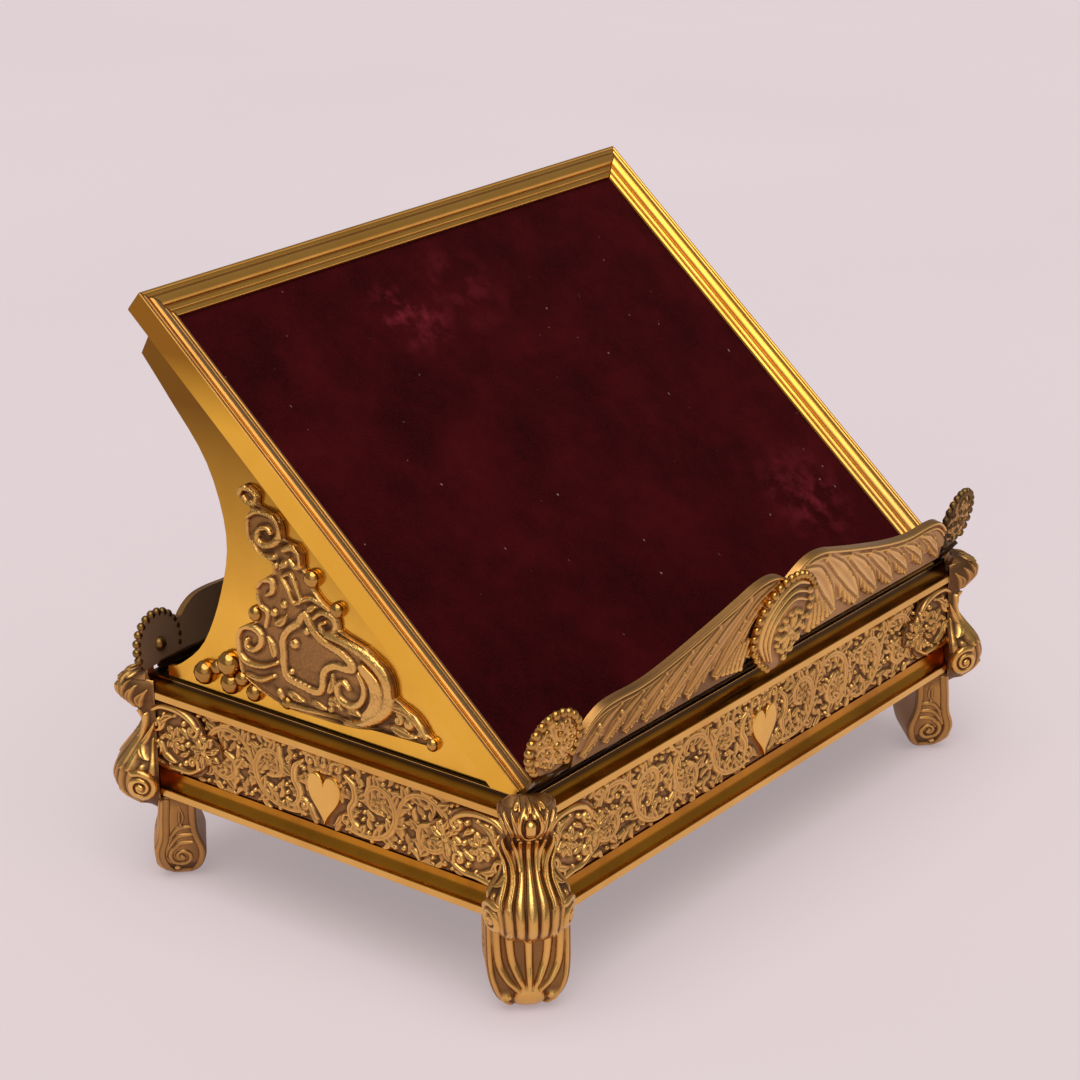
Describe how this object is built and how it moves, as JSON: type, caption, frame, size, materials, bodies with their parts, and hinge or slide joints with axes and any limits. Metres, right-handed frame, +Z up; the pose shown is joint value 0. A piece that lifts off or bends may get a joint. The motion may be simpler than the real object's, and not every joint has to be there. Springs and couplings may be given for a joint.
{
  "type": "missal stand",
  "caption": "Free-standing brass missal stand: a sloping velvet-covered book board with a cast ledge, on a chased box base with corner consoles and scroll feet.",
  "frame": {"origin": "on the floor under the middle of the whole stand", "axes": "+X to the right along the front edge, +Y to the back, +Z up"},
  "size_m": [0.3706, 0.2536, 0.2784],
  "materials": {
    "polished_brass": "polished gilt brass, lightly worn",
    "cast_brass": "cast and chased gilt brass, dark in the recesses",
    "velvet": "dark burgundy velvet with a mottled nap",
    "wood": "plain brown wood, out of sight"
  },
  "bodies": {
    "root": {"book_board": "wood", "bottom_rail_back": "polished_brass", "bottom_rail_front": "polished_brass", "bottom_rail_left": "polished_brass", "bottom_rail_right": "polished_brass", "corner_block_back_left": "wood", "corner_block_back_right": "wood", "corner_block_front_left": "wood", "corner_block_front_right": "wood", "corner_mount_back_left": "cast_brass", "corner_mount_back_right": "cast_brass", "corner_mount_front_left": "cast_brass", "corner_mount_front_right": "cast_brass", "deck_plate": "polished_brass", "desk_cleat_left": "wood", "desk_cleat_right": "wood", "frame_rail_left": "polished_brass", "frame_rail_right": "polished_brass", "frame_rail_top": "polished_brass", "frieze_back": "cast_brass", "frieze_front": "cast_brass", "frieze_left": "cast_brass", "frieze_right": "cast_brass", "front_arm_left": "cast_brass", "front_arm_right": "cast_brass", "front_fan_left": "cast_brass", "front_fan_right": "cast_brass", "front_ledge_strip": "polished_brass", "front_shell": "cast_brass", "rear_arm_left": "cast_brass", "rear_arm_right": "cast_brass", "rear_fan_left": "cast_brass", "rear_fan_right": "cast_brass", "rear_gallery_strip": "polished_brass", "rear_shell": "cast_brass", "scroll_foot_back_left": "cast_brass", "scroll_foot_back_right": "cast_brass", "scroll_foot_front_left": "cast_brass", "scroll_foot_front_right": "cast_brass", "side_ornament_left": "cast_brass", "side_ornament_right": "cast_brass", "side_panel_left": "polished_brass", "side_panel_right": "polished_brass", "top_rail_back": "polished_brass", "top_rail_front": "polished_brass", "top_rail_left": "polished_brass", "top_rail_right": "polished_brass", "velvet_cover": "velvet"}
  },
  "joints": []
}
